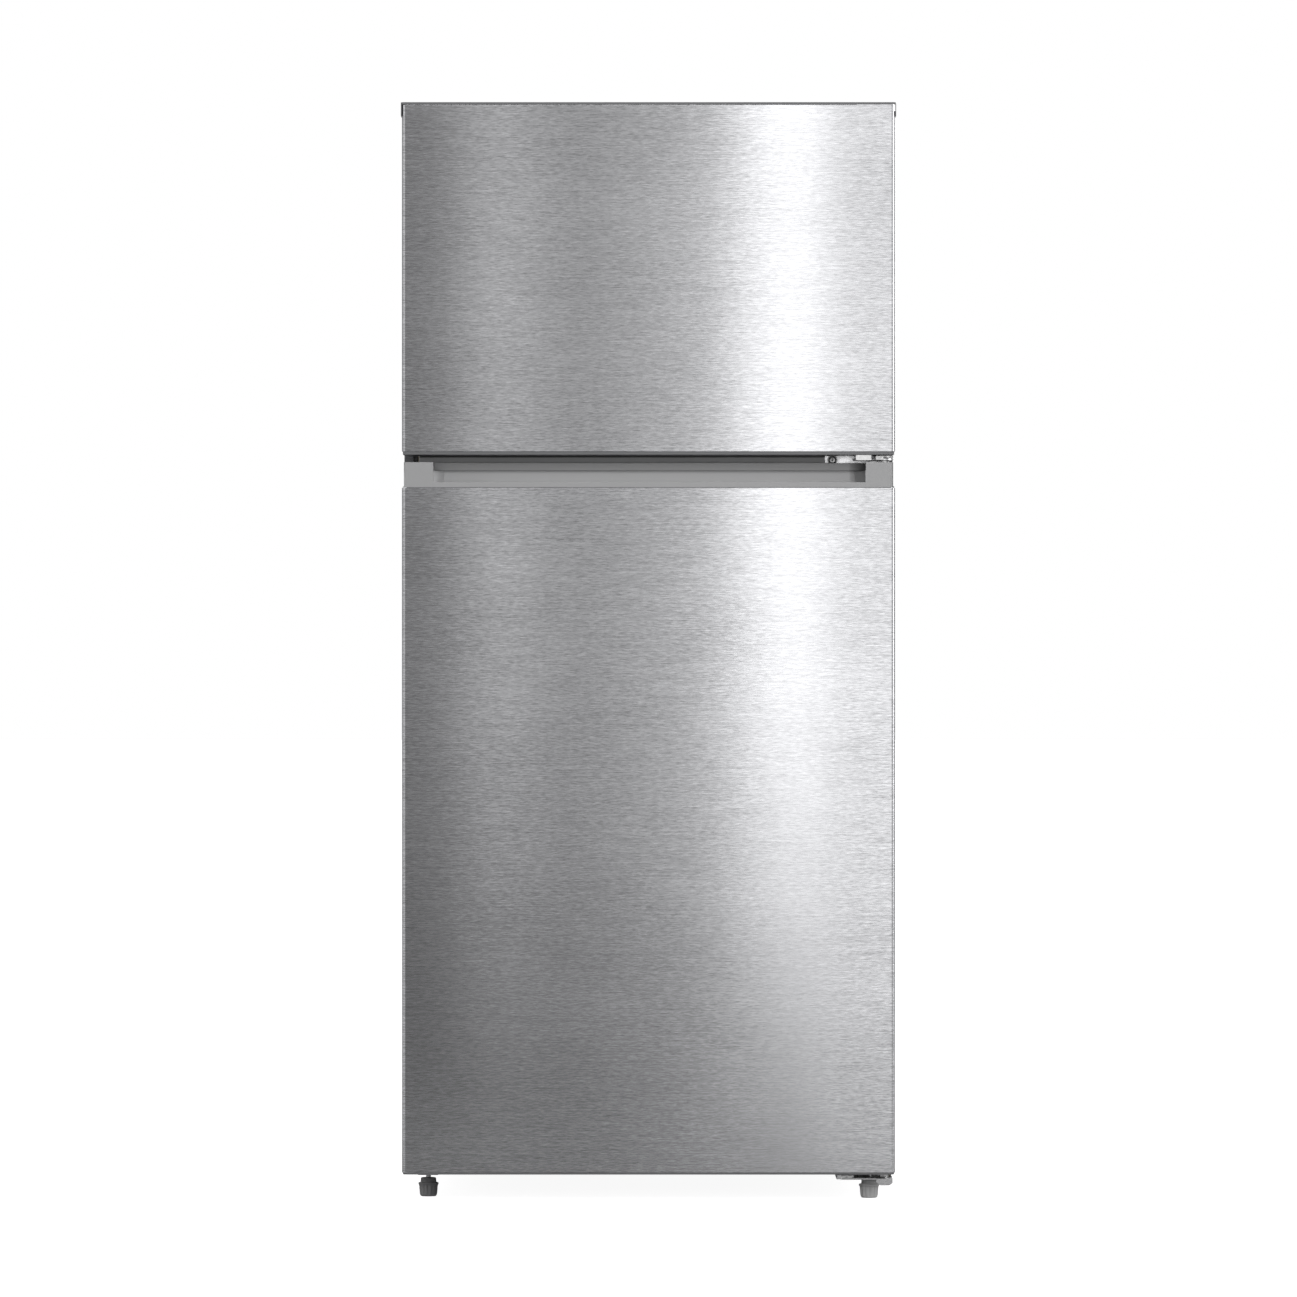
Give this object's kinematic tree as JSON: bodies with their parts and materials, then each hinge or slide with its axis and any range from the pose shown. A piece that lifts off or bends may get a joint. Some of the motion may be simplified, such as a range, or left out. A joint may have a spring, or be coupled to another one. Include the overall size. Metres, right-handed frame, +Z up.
{
  "type": "top freezer refrigerator",
  "caption": "Free-standing top freezer refrigerator: brushed steel doors hinged on the right, a pocket handle across the top of the lower door, levelling feet and rear rollers.",
  "frame": {"origin": "on the floor, at the middle of the overall width and of the overall depth", "axes": "+Z up, doors face -Y, hinges on the +X side"},
  "size_m": [0.752, 0.755, 1.668],
  "materials": {
    "door_steel": "horizontal brushed grain, satin",
    "side_paint": "dark grey powder coat with a fine texture",
    "back_sheet": "plain grey coated sheet",
    "rail_paint": "dark grey satin paint",
    "zinc_steel": "bright zinc plate",
    "pin_steel": "bright nickel plate, slightly worn",
    "trim_grey": "moulded grey, fine satin grain",
    "dial_grey": "moulded grey, satin",
    "trim_dark": "moulded dark grey, satin",
    "liner_white": "vacuum-formed white, soft gloss",
    "clear_plastic": "clear moulded, slightly blue",
    "shelf_glass": "clear tempered pane, green edge",
    "lamp_lens": "frosted, ribbed",
    "gasket_rubber": "soft grey, matt",
    "insulation_foam": "closed-cell insulating foam, hidden between sheets",
    "black_enamel": "black enamel",
    "black_plastic": "black, satin",
    "coil_aluminium": "bare, lightly oxidised",
    "foot_plastic": "dark grey nylon, matt"
  },
  "bodies": {
    "cabinet": {"cabinet_shell": "side_paint", "cabinet_foam": "insulation_foam", "back_panel": "back_sheet", "freezer_liner": "liner_white", "fridge_liner": "liner_white", "mullion_rail": "rail_paint", "base_pan": "zinc_steel", "compressor_tray": "zinc_steel", "compressor": "black_enamel", "condenser_coil": "black_enamel", "condenser_fan_shroud": "black_plastic", "drain_pan": "black_plastic", "machine_cover": "back_sheet", "cord_gland": "black_plastic", "evaporator_coil": "coil_aluminium", "evaporator_cover": "liner_white", "evaporator_fan_motor": "black_plastic", "air_duct": "liner_white", "control_box": "liner_white", "lamp_lens": "lamp_lens", "freezer_shelf": "shelf_glass", "fridge_shelf_upper": "shelf_glass", "fridge_shelf_lower": "shelf_glass", "crisper_glass": "shelf_glass", "crisper_frame": "liner_white", "top_hinge_bracket": "zinc_steel", "top_hinge_cover": "trim_dark", "middle_hinge_bracket": "zinc_steel", "middle_hinge_pin": "pin_steel", "middle_hinge_screw": "pin_steel", "bottom_hinge_bracket": "zinc_steel", "bottom_hinge_pin": "pin_steel"},
    "freezer_door": {"freezer_door_skin": "door_steel", "freezer_door_top_cap": "trim_dark", "freezer_door_bottom_cap": "trim_dark", "freezer_door_stop": "zinc_steel", "freezer_door_foam": "insulation_foam", "freezer_door_liner": "liner_white", "freezer_gasket": "gasket_rubber", "freezer_bin_lower": "clear_plastic", "freezer_bin_upper": "clear_plastic"},
    "fridge_door": {"fridge_door_skin": "door_steel", "fridge_door_handle_cap": "trim_grey", "fridge_door_bottom_cap": "trim_dark", "fridge_door_foam": "insulation_foam", "fridge_door_liner": "liner_white", "fridge_gasket": "gasket_rubber", "fridge_bin_lower": "clear_plastic", "fridge_bin_middle": "clear_plastic", "fridge_bin_upper": "clear_plastic"},
    "crisper_left_body": {"crisper_left": "clear_plastic"},
    "crisper_right_body": {"crisper_right": "clear_plastic"},
    "foot_left_body": {"foot_left": "foot_plastic"},
    "foot_right_body": {"foot_right": "foot_plastic"},
    "roller_left_body": {"roller_left": "foot_plastic"},
    "roller_right_body": {"roller_right": "foot_plastic"},
    "condenser_fan_body": {"condenser_fan": "black_plastic"},
    "evaporator_fan_body": {"evaporator_fan": "black_plastic"},
    "fridge_dial_body": {"fridge_dial": "dial_grey"},
    "freezer_dial_body": {"freezer_dial": "dial_grey"}
  },
  "joints": [
    {"name": "freezer_door_hinge", "type": "hinge", "parent": "cabinet", "child": "freezer_door", "pos_m": [0.358, -0.34, 1.133], "axis": [0, 0, 1], "range_deg": [0, 130]},
    {"name": "fridge_door_hinge", "type": "hinge", "parent": "cabinet", "child": "fridge_door", "pos_m": [0.358, -0.34, 0.0399], "axis": [0, 0, 1], "range_deg": [0, 130]},
    {"name": "crisper_left_slide", "type": "slide", "parent": "cabinet", "child": "crisper_left_body", "axis": [0, -1, 0], "range_m": [0, 0.225]},
    {"name": "crisper_right_slide", "type": "slide", "parent": "cabinet", "child": "crisper_right_body", "axis": [0, -1, 0], "range_m": [0, 0.225]},
    {"name": "foot_left_thread", "type": "hinge", "parent": "cabinet", "child": "foot_left_body", "pos_m": [-0.337, -0.268, 0], "axis": [0, 0, 1], "continuous": true},
    {"name": "foot_right_thread", "type": "hinge", "parent": "cabinet", "child": "foot_right_body", "pos_m": [0.337, -0.3, 0], "axis": [0, 0, 1], "continuous": true},
    {"name": "roller_left_axle", "type": "hinge", "parent": "cabinet", "child": "roller_left_body", "pos_m": [-0.33, 0.33, 0.02], "axis": [1, 0, 0], "continuous": true},
    {"name": "roller_right_axle", "type": "hinge", "parent": "cabinet", "child": "roller_right_body", "pos_m": [0.33, 0.33, 0.02], "axis": [1, 0, 0], "continuous": true},
    {"name": "condenser_fan_spin", "type": "hinge", "parent": "cabinet", "child": "condenser_fan_body", "pos_m": [-0.036, 0.262, 0.15], "axis": [1, 0, 0], "continuous": true},
    {"name": "evaporator_fan_spin", "type": "hinge", "parent": "cabinet", "child": "evaporator_fan_body", "pos_m": [0, 0.252, 1.46], "axis": [0, 1, 0], "continuous": true},
    {"name": "fridge_dial_turn", "type": "hinge", "parent": "cabinet", "child": "fridge_dial_body", "pos_m": [0.11, -0.186, 1.073], "axis": [0, 1, 0], "range_deg": [0, 270]},
    {"name": "freezer_dial_turn", "type": "hinge", "parent": "cabinet", "child": "freezer_dial_body", "pos_m": [0.23, 0.226, 1.24], "axis": [0, 1, 0], "range_deg": [0, 270]}
  ],
  "couplings": [
    {"joint": "crisper_left_slide", "follows": "fridge_door_hinge", "m_per_rad": 0.099},
    {"joint": "crisper_right_slide", "follows": "fridge_door_hinge", "m_per_rad": 0.099}
  ]
}
